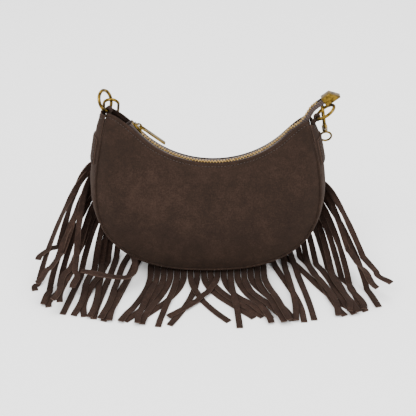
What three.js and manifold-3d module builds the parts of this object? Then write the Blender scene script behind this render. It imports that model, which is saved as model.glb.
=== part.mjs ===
// A soft crescent shoulder bag in suede: two curved panels joined by a gusset, a metal zip
// along the scooped top, a ring and a swivel snap hook at each top corner, and a long fringe
// sewn into the rear seam that spreads over the surface that the bag stands on.
// Millimetres. +X is the viewer's right, +Y goes to the back of the bag, +Z is up, and
// z = 0 is the surface under the fringe.

import * as THREE from "three";
import { mergeVertices } from "three/addons/utils/BufferGeometryUtils.js";
import Module from "manifold-3d";

const wasm = await Module();
wasm.setup();

const DEG = Math.PI / 180;

// Body
const SUEDE = 1.5;
const GAP = 0.35;
const SEAM_HALF_WIDTH = 116.5;
const SEAM_MID_Z = 98;
const SEAM_BOTTOM_Z = 8;
const SEAM_POWER = 2.45;
const CORNER_INSET = 13.5;
const CORNER_CURVE = 1.6;
const CORNER_Z = { left: 180.5, right: 171.5 };
const DEPTH_TOP = 10;
const DEPTH_BOTTOM = 28;
const DEPTH_POWER = 1.8;
const FRONT_BELLY = 9;
const BACK_BELLY = 5;
const GUSSET_BULGE_SIDE = 5.5;
const GUSSET_BULGE_BOTTOM = 4;
const GUSSET_TOP_LIFT = { left: -2, right: -6 };
const EDGE_HALF_GAP = 7.2;
const PATCH_TOP_Z = 154;
const PATCH_HEIGHT = 26;

// Zip
const ZIP_RADIUS = 99;
const ZIP_CENTRE = new THREE.Vector3(5.5, 0, 221.5);
const ZIP_START = -58 * DEG;
const ZIP_END = 50 * DEG;
// Heading of the tail at distances past the arc's end
const TAIL_TURNS = [[0, 50], [8, 34], [16, 38], [22, 58], [32, 56], [40, 40], [50, 38]];
const TAIL_LENGTH = 50;
const TAIL_SWAY = 4.1;
const TOOTH_PITCH = 3.2;
const TOOTH_WIDTH = 1.15;
const TOOTH_REACH = 0.9;
const TOOTH_GAP = 0.3;
const STOP_LENGTH = 2.4;
const BEAD_INNER = 1.25;
const BEAD_OUTER = 2.6;
const CHAIN_HALF_HEIGHT = 1.1;
const TAPE_HALF = 0.35;
const TAPE_DROP = 10;
const TAPE_REACH = 5.4;
const TAIL_DROP = 4.4;
const TAIL_REACH = 3.7;
const EDGE_ARC_HALF = 70;
const FRONT_EDGE_RAISE = 3;
const BACK_EDGE_RAISE = 1;
const SLIDER_ANGLE = -53 * DEG;
const SLIDER_LENGTH = 11;
const PULL_LENGTH = 31;
const PULL_WIDTH = 6;
const PULL_THICK = 1.5;
const PULL_SLOPE = 38 * DEG;
const PULL_EYE_LENGTH = 4.8;
const PULL_EYE_WALL = 0.8;
const PULL_EYE_WIDTH = 2.9;
const CLAMP_REACH = 4;
const CLAMP_LENGTH = 17;
const CLAMP_SLANT = 7;
const CLAMP_TOP = 2;
const CLAMP_LOW = 8.2;
const CLAMP_HALF = 4.8;

// Ring, tab and snap hook
const RING_MEAN_RADIUS = 10.3;
const RING_WIRE = 1.7;
const TAB_WIDTH = 5;
const TAB_THICK = 1.6;
const TAB_TONGUE = 6;
const HOOK_ARCH = 7.5;
const HOOK_LEG = 14;
const HOOK_WIRE = 1.5;
const HOOK_THICK = 1.7;
const PIN_RADIUS = 0.6;
const BOSS_RADIUS = 3;
const EYE_POST = 1.1;
const EYE_RADIUS = 6;
const EYE_WIRE = 1.15;

// Fringe
const STRIP_WIDTH = 6.6;
const STRIP_THICK = 1.4;
const STRIP_PITCH = 7.1;
const STRIP_LENGTH = 154;
const STRIP_STATIONS = 15;
const STRIPS_LEFT = 25;
const STRIPS_RIGHT = 23;
const BAND_THICK = 0.8;
const BAND_INNER_EDGE = 0.91;
const UNDER_BAG_HALF = 64;
const STRAIGHT_TO_Y = -31;
const LAY_CELL = 1.2;
const LAY_GAP = 0.35;
const LAY_SLOPE = 0.16;
const LAY_HALF_WIDTH = 2.7;
// Where the loose ends lie on the surface, from the left root round to the right one
const STRIP_ENDS = [
  [-179, -40], [-186, -64], [-137, -86], [-178, -78], [-172, -93], [-165, -88], [-160, -98],
  [-152, -94], [-148, -98], [-136, -101], [-128, -96], [-121, -111], [-116, -104], [-118, -59],
  [-109, -112], [-100, -118], [-104, -108], [-91, -122], [-71, -125], [-82, -112], [-67, -122],
  [-50, -121], [-75, -118], [21, -115], [-38, -120], [55, -120], [61, -112], [-44, -112], [69, -115],
  [32, -126], [64, -118], [76, -110], [85, -109], [72, -106], [80, -112], [97, -104], [142, -88],
  [90, -101], [107, -101], [140, -105], [133, -97], [150, -104], [156, -110], [146, -92], [166, -102],
  [161, -95], [180, -100], [174, -84], [192, -78],
];
// The one strip that turns back and lies across its neighbours passes here first
const CROSSING_STRIP = -12;
const CROSSING_TURN = [-66, -56];

const SUEDE_COLOUR = 0x46332c;
const SUEDE_DARK = 0x3a2a24;
const BRASS_COLOUR = 0x8a6a1f;
const TEETH_COLOUR = 0xc9a566;
const TAPE_COLOUR = 0x3d2c27;

const suede = () => new THREE.MeshStandardMaterial({ color: SUEDE_COLOUR, roughness: 0.95 });
const darkSuede = () => new THREE.MeshStandardMaterial({ color: SUEDE_DARK, roughness: 0.95 });
const brass = () => new THREE.MeshStandardMaterial({ color: BRASS_COLOUR, roughness: 0.35, metalness: 1 });
const toothMetal = () => new THREE.MeshStandardMaterial({
  color: TEETH_COLOUR,
  roughness: 0.4,
  metalness: 1,
});
const tapeCloth = () => new THREE.MeshStandardMaterial({ color: TAPE_COLOUR, roughness: 0.9 });

const bag = new THREE.Group();

function vec(x, y, z) {
  return new THREE.Vector3(x, y, z);
}

function addPart(name, geometry, material, parent = bag) {
  const mesh = new THREE.Mesh(geometry, material);
  mesh.name = name;
  parent.add(mesh);
  return mesh;
}

// Solids

function signedVolume(positions, indices) {
  const a = new THREE.Vector3();
  const b = new THREE.Vector3();
  const c = new THREE.Vector3();
  let volume = 0;
  for (let i = 0; i < indices.length; i += 3) {
    a.fromArray(positions, indices[i] * 3);
    b.fromArray(positions, indices[i + 1] * 3);
    c.fromArray(positions, indices[i + 2] * 3);
    volume += a.dot(b.cross(c)) / 6;
  }
  return volume;
}

function solidGeometry(points, indices) {
  const positions = points.flatMap((p) => [p.x, p.y, p.z]);
  if (signedVolume(positions, indices) < 0) {
    for (let i = 0; i < indices.length; i += 3) {
      [indices[i + 1], indices[i + 2]] = [indices[i + 2], indices[i + 1]];
    }
  }
  const geometry = new THREE.BufferGeometry();
  geometry.setAttribute("position", new THREE.Float32BufferAttribute(positions, 3));
  geometry.setIndex(indices);
  return geometry;
}

// A closed sheet between two grids of points of the same size.
function sheetSolid(outer, inner) {
  const rows = outer.length;
  const columns = outer[0].length;
  const points = [...outer.flat(), ...inner.flat()];
  const shift = rows * columns;
  const indices = [];
  const at = (i, j) => i * columns + j;
  const quad = (a, b, c, d) => indices.push(a, b, c, a, c, d);
  for (let i = 0; i < rows - 1; i += 1) {
    for (let j = 0; j < columns - 1; j += 1) {
      quad(at(i, j), at(i + 1, j), at(i + 1, j + 1), at(i, j + 1));
      quad(shift + at(i, j), shift + at(i, j + 1), shift + at(i + 1, j + 1), shift + at(i + 1, j));
    }
  }
  for (let j = 0; j < columns - 1; j += 1) {
    quad(at(0, j), at(0, j + 1), shift + at(0, j + 1), shift + at(0, j));
    quad(at(rows - 1, j + 1), at(rows - 1, j), shift + at(rows - 1, j), shift + at(rows - 1, j + 1));
  }
  for (let i = 0; i < rows - 1; i += 1) {
    quad(at(i + 1, 0), at(i, 0), shift + at(i, 0), shift + at(i + 1, 0));
    const last = columns - 1;
    quad(at(i, last), at(i + 1, last), shift + at(i + 1, last), shift + at(i, last));
  }
  return solidGeometry(points, indices);
}

// Rings of points joined end to end, with flat caps unless the last ring meets the first.
function loft(rings, looped = false) {
  const count = rings[0].length;
  const points = rings.flat();
  const indices = [];
  const steps = looped ? rings.length : rings.length - 1;
  for (let i = 0; i < steps; i += 1) {
    const a = i * count;
    const b = ((i + 1) % rings.length) * count;
    for (let j = 0; j < count; j += 1) {
      const k = (j + 1) % count;
      indices.push(a + j, b + j, b + k, a + j, b + k, a + k);
    }
  }
  if (!looped) {
    const flat = flatten(rings[0]);
    const faces = THREE.ShapeUtils.triangulateShape(flat, []);
    const last = (rings.length - 1) * count;
    const turned = THREE.ShapeUtils.isClockWise(flat);
    faces.forEach(([p, q, r]) => {
      if (turned) {
        indices.push(p, r, q, last + p, last + q, last + r);
      } else {
        indices.push(p, q, r, last + p, last + r, last + q);
      }
    });
  }
  return solidGeometry(points, indices);
}

// The points of a flat ring in two coordinates of its own plane.
function flatten(ring) {
  const normal = new THREE.Vector3();
  ring.forEach((p, i) => {
    const q = ring[(i + 1) % ring.length];
    normal.add(p.clone().cross(q));
  });
  normal.normalize();
  const across = ring[1].clone().sub(ring[0]).normalize();
  const up = normal.clone().cross(across);
  return ring.map((p) => new THREE.Vector2(p.dot(across), p.dot(up)));
}

function toManifold(geometry) {
  const plain = geometry.clone();
  Object.keys(plain.attributes).forEach((key) => {
    if (key !== "position") plain.deleteAttribute(key);
  });
  const merged = mergeVertices(plain, 1e-4);
  const mesh = new wasm.Mesh({
    numProp: 3,
    vertProperties: new Float32Array(merged.attributes.position.array),
    triVerts: new Uint32Array(merged.index.array),
  });
  return new wasm.Manifold(mesh);
}

function fromManifold(manifold) {
  const mesh = manifold.getMesh();
  const geometry = new THREE.BufferGeometry();
  geometry.setAttribute("position", new THREE.BufferAttribute(new Float32Array(mesh.vertProperties), 3));
  geometry.setIndex(new THREE.BufferAttribute(new Uint32Array(mesh.triVerts), 1));
  return geometry;
}

function joined(...geometries) {
  return fromManifold(geometries.map(toManifold).reduce((a, b) => a.add(b)));
}

function cut(geometry, ...tools) {
  return fromManifold(tools.map(toManifold).reduce((a, b) => a.subtract(b), toManifold(geometry)));
}

function boxAt(size, centre) {
  return new THREE.BoxGeometry(...size).translate(...centre);
}

// A cylinder from one point along an axis.
function rod(from, to, radius, sides = 16) {
  const axis = to.clone().sub(from);
  const geometry = new THREE.CylinderGeometry(radius, radius, axis.length(), sides);
  const turn = new THREE.Quaternion().setFromUnitVectors(vec(0, 1, 0), axis.clone().normalize());
  return geometry.applyQuaternion(turn).translate(...from.clone().add(to).multiplyScalar(0.5));
}

// Outline of the seams

function seamOutline() {
  const points = [];
  const span = (side, top) => {
    const list = [];
    for (let i = 0; i <= 40; i += 1) {
      const z = top + ((SEAM_MID_Z - top) * i) / 40;
      const rise = (z - SEAM_MID_Z) / (top - SEAM_MID_Z);
      list.push([side * (SEAM_HALF_WIDTH - CORNER_INSET * rise ** CORNER_CURVE), z]);
    }
    return list;
  };
  points.push(...span(-1, CORNER_Z.left));
  for (let i = 1; i < 160; i += 1) {
    const turn = Math.PI * (i / 160);
    const c = Math.cos(turn);
    const s = Math.sin(turn);
    const x = -SEAM_HALF_WIDTH * Math.sign(c) * Math.abs(c) ** (2 / SEAM_POWER);
    const z = SEAM_MID_Z - (SEAM_MID_Z - SEAM_BOTTOM_Z) * s ** (2 / SEAM_POWER);
    points.push([x, z]);
  }
  points.push(...span(1, CORNER_Z.right).reverse());
  return points;
}

// A polyline that is read by its share of the whole length.
function measured(points) {
  const lengths = [0];
  for (let i = 1; i < points.length; i += 1) {
    const step = Math.hypot(points[i][0] - points[i - 1][0], points[i][1] - points[i - 1][1]);
    lengths.push(lengths[i - 1] + step);
  }
  const total = lengths[lengths.length - 1];
  const at = (share) => {
    const target = THREE.MathUtils.clamp(share, 0, 1) * total;
    let i = 1;
    while (i < points.length - 1 && lengths[i] < target) i += 1;
    const part = (target - lengths[i - 1]) / (lengths[i] - lengths[i - 1]);
    return [0, 1].map((k) => points[i - 1][k] + (points[i][k] - points[i - 1][k]) * part);
  };
  return { at, total };
}

const seam = measured(seamOutline());

function seamDepth(z) {
  const rise = THREE.MathUtils.clamp((z - SEAM_BOTTOM_Z) / (CORNER_Z.left - SEAM_BOTTOM_Z), 0, 1);
  return DEPTH_TOP + (DEPTH_BOTTOM - DEPTH_TOP) * (1 - rise ** DEPTH_POWER);
}

// side is -1 at the front of the bag and 1 at the back.
function seamPoint(share, side) {
  const [x, z] = seam.at(share);
  return vec(x, side * seamDepth(z), z);
}

function seamOutward(share) {
  const [xa, za] = seam.at(share - 0.004);
  const [xb, zb] = seam.at(share + 0.004);
  return vec(zb - za, 0, xa - xb).normalize();
}

// Scooped top edge: an arc beside the zip, flattening out to each corner.
function edgeHeight(x, raise) {
  const across = x - ZIP_CENTRE.x;
  const arc = (d) => ZIP_CENTRE.z - Math.sqrt(ZIP_RADIUS ** 2 - d ** 2);
  if (Math.abs(across) <= EDGE_ARC_HALF) {
    return arc(across) + raise * (1 - (across / EDGE_ARC_HALF) ** 2);
  }
  const isLeft = across < 0;
  const corner = seam.at(isLeft ? 0 : 1);
  const startX = ZIP_CENTRE.x + (isLeft ? -1 : 1) * EDGE_ARC_HALF;
  const length = Math.abs(corner[0] - startX);
  const t = Math.min(Math.abs(x - startX) / length, 1);
  const steep = EDGE_ARC_HALF / Math.sqrt(ZIP_RADIUS ** 2 - EDGE_ARC_HALF ** 2);
  const endZ = corner[1] + 2.2;
  const h00 = 1 - 3 * t ** 2 + 2 * t ** 3;
  const h10 = t * (1 - t) ** 2;
  const h11 = t ** 2 * (t - 1);
  return arc(EDGE_ARC_HALF) * h00 + steep * length * h10 + endZ * (1 - h00) + 0.2 * length * h11;
}

function topEdge(raise) {
  const startX = seam.at(0)[0] + 0.8;
  const endX = seam.at(1)[0] - 0.8;
  const points = [];
  for (let i = 0; i <= 120; i += 1) {
    const x = startX + ((endX - startX) * i) / 120;
    points.push([x, edgeHeight(x, raise)]);
  }
  return measured(points);
}

// Panels

function panelPoint(edge, side, belly, u, v) {
  const [tx, tz] = edge.at(u);
  const bottom = seamPoint(u, side);
  const x = tx + (bottom.x - tx) * v;
  const z = tz + (bottom.z - tz) * v;
  const shoulder = Math.sin((Math.PI / 2) * v) ** 0.9;
  const depth = EDGE_HALF_GAP + (Math.abs(bottom.y) - EDGE_HALF_GAP) * shoulder;
  const crown = belly * Math.sin(Math.PI * v ** 1.25) * Math.sin(Math.PI * u) ** 0.7;
  return vec(x, side * (depth + crown), z);
}

function panelNormal(edge, side, belly, u, v) {
  const step = 0.01;
  const clampU = THREE.MathUtils.clamp(u, step, 1 - step);
  const clampV = THREE.MathUtils.clamp(v, step, 1 - step);
  const du = panelPoint(edge, side, belly, clampU + step, clampV)
    .sub(panelPoint(edge, side, belly, clampU - step, clampV));
  const dv = panelPoint(edge, side, belly, clampU, clampV + step)
    .sub(panelPoint(edge, side, belly, clampU, clampV - step));
  const normal = du.cross(dv).normalize();
  return normal.y * side < 0 ? normal.negate() : normal;
}

function panel(side, raise, belly, columns = 34, rows = 8) {
  const edge = topEdge(raise);
  const outer = [];
  const inner = [];
  for (let i = 0; i <= columns; i += 1) {
    const u = i / columns;
    const outside = [];
    const inside = [];
    for (let j = 0; j <= rows; j += 1) {
      const v = (j / rows) ** 1.1;
      const p = panelPoint(edge, side, belly, u, v);
      const n = panelNormal(edge, side, belly, u, v);
      const isRim = i === 0 || i === columns || j === 0 || j === rows;
      const inward = isRim ? vec(0, side, 0) : n;
      outside.push(p);
      inside.push(p.clone().addScaledVector(inward, -SUEDE));
    }
    outer.push(outside);
    inner.push(inside);
  }
  return sheetSolid(outer, inner);
}

addPart("front_panel", panel(-1, FRONT_EDGE_RAISE, FRONT_BELLY), suede());
addPart("back_panel", panel(1, BACK_EDGE_RAISE, BACK_BELLY), suede());

// Gusset, one strip from corner to corner round the sides and the bottom

function gussetPoint(share, w, lift = 0) {
  const front = seamPoint(share, -1);
  const back = seamPoint(share, 1);
  const out = seamOutward(share);
  const down = THREE.MathUtils.clamp(-out.z, 0, 1);
  const bulge = THREE.MathUtils.lerp(GUSSET_BULGE_SIDE, GUSSET_BULGE_BOTTOM, down ** 1.5);
  const flatness = THREE.MathUtils.lerp(2.2, 6, down ** 1.5);
  const crown = 1 - Math.abs(2 * w - 1) ** flatness;
  const endward = Math.max(0, 1 - Math.min(share, 1 - share) / 0.03);
  const point = front.lerp(back, w).addScaledVector(out, bulge * crown + lift);
  point.z += GUSSET_TOP_LIFT[share < 0.5 ? "left" : "right"] * endward * crown;
  return point;
}

function gussetSheet(shares, weights, lift, thickness) {
  const outer = [];
  const inner = [];
  shares.forEach((share) => {
    const outside = [];
    const inside = [];
    weights.forEach((w) => {
      outside.push(gussetPoint(share, w, lift));
      inside.push(gussetPoint(share, w, lift - thickness));
    });
    outer.push(outside);
    inner.push(inside);
  });
  return sheetSolid(outer, inner);
}

function spread(from, to, steps) {
  return Array.from({ length: steps + 1 }, (_, i) => from + ((to - from) * i) / steps);
}

// The gusset's edges lie just outside the panels' edges.
addPart("gusset", gussetSheet(spread(0, 1, 46), spread(0, 1, 8), SUEDE + GAP, SUEDE), suede());

function shareAtHeight(z, isLeft) {
  const shares = spread(0, 0.5, 400).map((s) => (isLeft ? s : 1 - s));
  return shares.find((s) => seam.at(s)[1] <= z);
}

[["left", true], ["right", false]].forEach(([name, isLeft]) => {
  const top = shareAtHeight(PATCH_TOP_Z, isLeft);
  const bottom = shareAtHeight(PATCH_TOP_Z - PATCH_HEIGHT, isLeft);
  const patch = gussetSheet(spread(top, bottom, 5), spread(0.06, 0.94, 8), 2 * (SUEDE + GAP), SUEDE);
  addPart(`${name}_gusset_patch`, patch, darkSuede());
});

// Zip

function arcPoint(turn) {
  return vec(Math.sin(turn), 0, -Math.cos(turn)).multiplyScalar(ZIP_RADIUS).add(ZIP_CENTRE);
}

function zipRun() {
  const heading = (s) => {
    const arcEnd = (ZIP_END - ZIP_START) * ZIP_RADIUS;
    if (s <= arcEnd) return ZIP_START + s / ZIP_RADIUS;
    const past = Math.min(s - arcEnd, TAIL_LENGTH - 1e-6);
    const k = TAIL_TURNS.findIndex(([at]) => at > past);
    const [fromS, fromTurn] = TAIL_TURNS[k - 1];
    const [toS, toTurn] = TAIL_TURNS[k];
    return THREE.MathUtils.mapLinear(past, fromS, toS, fromTurn, toTurn) * DEG;
  };
  const step = 0.25;
  const total = (ZIP_END - ZIP_START) * ZIP_RADIUS + TAIL_LENGTH;
  const start = arcPoint(ZIP_START);
  const stations = [start];
  for (let s = 0; s < total + 2 * CLAMP_REACH; s += step) {
    const turn = heading(s + step / 2);
    stations.push(stations.at(-1).clone().add(vec(Math.cos(turn) * step, 0, Math.sin(turn) * step)));
  }
  // s along the chain, y across it, h above it
  const place = (s, y, h) => {
    const i = THREE.MathUtils.clamp(s / step, 0, stations.length - 1.001);
    const base = stations[Math.floor(i)].clone().lerp(stations[Math.floor(i) + 1], i % 1);
    const turn = heading(s);
    const past = s - (total - TAIL_LENGTH);
    const sway = TAIL_SWAY * THREE.MathUtils.smoothstep(past, 24, 40);
    return base.add(vec(-Math.sin(turn) * h, y + sway, Math.cos(turn) * h));
  };
  return { place, heading, total, arcLength: total - TAIL_LENGTH };
}

const zip = zipRun();
const CHAIN_START = 4;
const CHAIN_END = zip.total - 2;

// A bar with a square section along the chain, from one station to another.
function chainBar(from, to, steps, side, inner, outer, halfHeight) {
  return loft(spread(from, to, steps).map((s) => [
    [inner, halfHeight],
    [outer, halfHeight],
    [outer, -halfHeight],
    [inner, -halfHeight],
  ].map(([y, h]) => zip.place(s, side * y, h))));
}

// One row: a bead on the tape's edge with its teeth reaching over the middle.
function toothRow(side) {
  const first = CHAIN_START + (side < 0 ? 0 : TOOTH_PITCH / 2);
  const count = Math.floor((CHAIN_END - first - TOOTH_WIDTH) / TOOTH_PITCH);
  const last = first + (count - 1) * TOOTH_PITCH + TOOTH_WIDTH;
  const bead = chainBar(first - 0.6, last + 0.6, count, side, BEAD_INNER, BEAD_OUTER, CHAIN_HALF_HEIGHT);
  const teeth = spread(0, count - 1, count - 1).map((i) => {
    const s = first + i * TOOTH_PITCH;
    return chainBar(s, s + TOOTH_WIDTH, 1, side, -TOOTH_REACH, BEAD_INNER + 0.4, CHAIN_HALF_HEIGHT - 0.05);
  });
  return joined(bead, ...teeth);
}

// Tape: out from the bead, then down inside the panel; the two tapes close up along the tail.
function zipTape(side) {
  const rings = [];
  const steps = 80;
  for (let i = 0; i <= steps; i += 1) {
    const s = ((zip.total + CLAMP_REACH) * i) / steps;
    const close = THREE.MathUtils.smoothstep(s, zip.arcLength - 18, zip.arcLength + 4);
    const outer = THREE.MathUtils.lerp(TAPE_REACH, TAIL_REACH, close);
    const drop = THREE.MathUtils.lerp(TAPE_DROP, TAIL_DROP, close);
    const inner = BEAD_OUTER + GAP;
    const section = [
      [inner, TAPE_HALF],
      [outer, TAPE_HALF],
      [outer, -drop],
      [outer - 2 * TAPE_HALF, -drop],
      [outer - 2 * TAPE_HALF, -TAPE_HALF],
      [inner, -TAPE_HALF],
    ];
    rings.push(section.map(([y, h]) => zip.place(s, side * y, h)));
  }
  return loft(rings);
}

addPart("zip_teeth_front", toothRow(-1), toothMetal());
addPart("zip_teeth_back", toothRow(1), toothMetal());
addPart("zip_tape_front", zipTape(-1), tapeCloth());
addPart("zip_tape_back", zipTape(1), tapeCloth());

// Top stops: small blocks clamped on each bead's upper end
[["front", -1], ["back", 1]].forEach(([name, side]) => {
  const from = CHAIN_START - STOP_LENGTH - 1;
  const stop = chainBar(from, from + STOP_LENGTH, 1, side, TOOTH_GAP, BEAD_OUTER, CHAIN_HALF_HEIGHT + 0.3);
  addPart(`zip_top_stop_${name}`, stop, brass());
});

// Slider: a plate over the chain with a lip down each side and a bridge on top for the pull.
// Its own frame has +X along the chain and +Z above it.
const sliderFrame = new THREE.Group();
sliderFrame.position.copy(arcPoint(SLIDER_ANGLE));
sliderFrame.rotation.y = -SLIDER_ANGLE;
bag.add(sliderFrame);

const CHANNEL = CHAIN_HALF_HEIGHT + 0.55;
const PLATE = 0.9;
const SLIDER_HALF_WIDTH = 4.1;

// A plate that curves with the chain, so that it clears the teeth all along.
function sliderPlate(low, high, halfWidth) {
  const rings = spread(-SLIDER_LENGTH / 2, SLIDER_LENGTH / 2, 4).map((x) => {
    const sag = ZIP_RADIUS - Math.sqrt(ZIP_RADIUS ** 2 - x ** 2);
    const ease = 1 - 0.12 * (2 * x / SLIDER_LENGTH) ** 2;
    const y = halfWidth * ease;
    return [vec(x, -y, low + sag), vec(x, y, low + sag), vec(x, y, high + sag), vec(x, -y, high + sag)];
  });
  return loft(rings);
}

const BRIDGE_SPAN = 7.4;
const BRIDGE_RISE = 3.8;
const PULL_HANG = 1.7;
const BRIDGE_TOP = CHANNEL + PLATE;
const LIP_LOW = TAPE_HALF + 0.3;

function sliderLip(side, low, high) {
  const lip = sliderPlate(low, high, 0.5);
  return lip.translate(0, side * (SLIDER_HALF_WIDTH - 1), 0);
}

// An arched bar over the top plate, open beneath for the pull's eye.
function bridge() {
  const rings = spread(0, 180, 12).map((turn) => {
    const a = turn * DEG;
    const bar = (r, y) => {
      const height = BRIDGE_TOP - 0.3 + Math.sin(a) * (BRIDGE_RISE + r);
      return vec(-Math.cos(a) * (BRIDGE_SPAN / 2 + r), y, height);
    };
    return [bar(-0.6, -1), bar(-0.6, 1), bar(0.6, 1), bar(0.6, -1)];
  });
  return loft(rings);
}

const slider = joined(
  sliderPlate(CHANNEL, BRIDGE_TOP, SLIDER_HALF_WIDTH),
  sliderLip(-1, LIP_LOW, CHANNEL + 0.2),
  sliderLip(1, LIP_LOW, CHANNEL + 0.2),
  bridge(),
);
addPart("zip_slider", slider, brass(), sliderFrame);

// Pull: a flat bar with an eye round the bridge, lying down along the zip.
const pullPivot = vec(1.6, 0, BRIDGE_TOP + BRIDGE_RISE - PULL_HANG);
const pullFrame = new THREE.Group();
pullFrame.position.copy(pullPivot);
pullFrame.rotation.y = PULL_SLOPE + SLIDER_ANGLE;
sliderFrame.add(pullFrame);

function pullBar() {
  const outline = new THREE.Shape();
  const half = PULL_WIDTH / 2;
  outline.moveTo(-1.8, -half + 1.2);
  outline.lineTo(-0.6, -half);
  outline.lineTo(PULL_LENGTH - 1, -half);
  outline.lineTo(PULL_LENGTH, -half + 1);
  outline.lineTo(PULL_LENGTH, half - 1);
  outline.lineTo(PULL_LENGTH - 1, half);
  outline.lineTo(-0.6, half);
  outline.lineTo(-1.8, half - 1.2);
  const flat = new THREE.ExtrudeGeometry(outline, { depth: PULL_THICK, bevelEnabled: false });
  flat.translate(0, 0, -PULL_THICK / 2);
  const eyeCentre = PULL_EYE_LENGTH / 2 - PULL_EYE_WALL;
  return cut(flat, boxAt([PULL_EYE_LENGTH, PULL_EYE_WIDTH, 4], [eyeCentre, 0, 0]));
}

addPart("zip_pull", pullBar(), brass(), pullFrame);

// End clamp: folded metal round the ends of both tapes, cut off at a slant.
function endClamp() {
  const clampSection = (s, top, low, half) => [
    zip.place(s, -half, top), zip.place(s, half, top), zip.place(s, half, low), zip.place(s, -half, low),
  ];
  const start = zip.total;
  const turn = zip.heading(start);
  const along = (base, far) => base.add(vec(Math.cos(turn), 0, Math.sin(turn)).multiplyScalar(far));
  const rim = clampSection(start, CLAMP_TOP, -CLAMP_LOW, CLAMP_HALF);
  const end = [CLAMP_LENGTH - CLAMP_SLANT, CLAMP_LENGTH - CLAMP_SLANT, CLAMP_LENGTH, CLAMP_LENGTH];
  const shell = loft([rim, rim.map((p, i) => along(p.clone(), end[i]))]);
  const pocketRim = clampSection(start - 1, CLAMP_TOP - 1, -CLAMP_LOW + 1, CLAMP_HALF - 0.8);
  const pocket = loft([pocketRim, pocketRim.map((p) => along(p.clone(), CLAMP_REACH + 1.8))]);
  return cut(shell, pocket);
}

addPart("zip_end_clamp", endClamp(), brass());

// Corners: a suede tab folded round a ring, and a swivel snap hook hanging from the ring

function frameFrom(origin, across, up) {
  const group = new THREE.Group();
  const z = up.clone().normalize();
  const y = z.clone().cross(across).normalize();
  const x = y.clone().cross(z).normalize();
  group.matrix.makeBasis(x, y, z).setPosition(origin);
  group.matrix.decompose(group.position, group.quaternion, group.scale);
  return group;
}

// Its own frame has the tunnel along Y and the tongue down -Z.
function ringTab() {
  const bore = RING_WIRE + GAP;
  const outer = bore + TAB_THICK;
  const round = rod(vec(0, -TAB_WIDTH / 2, 0), vec(0, TAB_WIDTH / 2, 0), outer, 24);
  const tongue = boxAt([2 * TAB_THICK + 0.2, TAB_WIDTH, TAB_TONGUE], [0, 0, -TAB_TONGUE / 2 - bore]);
  return cut(joined(round, tongue), rod(vec(0, -TAB_WIDTH, 0), vec(0, TAB_WIDTH, 0), bore, 24));
}

// Its own frame has the hook's width along X, its thickness along Y and its length down -Z, from
// the middle of the arch's top.
function hookPath(fromTurn, toTurn, steps) {
  return spread(fromTurn, toTurn, steps).map((turn) => {
    const a = turn * DEG;
    const low = Math.sin(a) < 0 ? -HOOK_LEG : 0;
    return vec(HOOK_ARCH * Math.cos(a), 0, HOOK_ARCH * Math.sin(a) - HOOK_ARCH + low);
  });
}

function wireRings(path, radius, thickness, sides = 8) {
  return path.map((p, i) => {
    const before = path[Math.max(i - 1, 0)];
    const after = path[Math.min(i + 1, path.length - 1)];
    const along = after.clone().sub(before).normalize();
    const out = vec(along.z, 0, -along.x);
    return spread(0, 360, sides).slice(0, sides).map((turn) => {
      const a = (turn + 180 / sides) * DEG;
      return p.clone().addScaledVector(out, radius * Math.cos(a)).add(vec(0, thickness * Math.sin(a), 0));
    });
  });
}

const GATE_TOP = -HOOK_ARCH - 1;
const GATE_LOW = -HOOK_ARCH - HOOK_LEG + 1;
const GATE_PIVOT = GATE_LOW - 2.1;
const BOSS_TOP = -2 * HOOK_ARCH - HOOK_LEG + 1.2;
const BOSS_LOW = BOSS_TOP - 6;

// The right leg is whole. The gate stands in the left leg's place, and laps half of the loop's
// thickness at its pivot.
function hookBody() {
  const lower = hookPath(0, -180, 14).map((p) => p.setZ(Math.min(p.z, -HOOK_ARCH - HOOK_LEG)));
  const loop = loft(wireRings([...hookPath(180, 0, 14), ...lower], HOOK_WIRE, HOOK_THICK));
  const boss = rod(vec(0, 0, BOSS_TOP), vec(0, 0, BOSS_LOW), BOSS_RADIUS, 20);
  const bore = rod(vec(0, 0, BOSS_TOP + 3), vec(0, 0, BOSS_LOW - 2), EYE_POST + GAP, 16);
  const recess = boxAt([4, 4, 7], [-HOOK_ARCH, 2 - GAP, GATE_PIVOT + 1.5]);
  const pinHole = rod(vec(-HOOK_ARCH, -4, GATE_PIVOT), vec(-HOOK_ARCH, 4, GATE_PIVOT), PIN_RADIUS + GAP, 12);
  return cut(joined(loop, boss), bore, recess, pinHole);
}

function hookGate() {
  const barSize = [2 * HOOK_WIRE, 2 * HOOK_THICK, GATE_TOP - GATE_LOW];
  const bar = boxAt(barSize, [-HOOK_ARCH, 0, (GATE_TOP + GATE_LOW) / 2]);
  const lapTop = GATE_LOW + 0.5;
  const lapSize = [2.7, HOOK_THICK, lapTop - GATE_PIVOT];
  const lap = boxAt(lapSize, [-HOOK_ARCH, HOOK_THICK / 2, (lapTop + GATE_PIVOT) / 2]);
  const knuckle = rod(vec(-HOOK_ARCH, 0, GATE_PIVOT), vec(-HOOK_ARCH, HOOK_THICK, GATE_PIVOT), 1.35, 16);
  const thumb = boxAt([1.8, 2.4, 3], [-HOOK_ARCH - HOOK_WIRE - 0.6, 0, GATE_TOP - 4]);
  const hole = rod(vec(-HOOK_ARCH, -4, GATE_PIVOT), vec(-HOOK_ARCH, 4, GATE_PIVOT), PIN_RADIUS + GAP, 12);
  return cut(joined(bar, lap, knuckle, thumb), hole);
}

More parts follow.
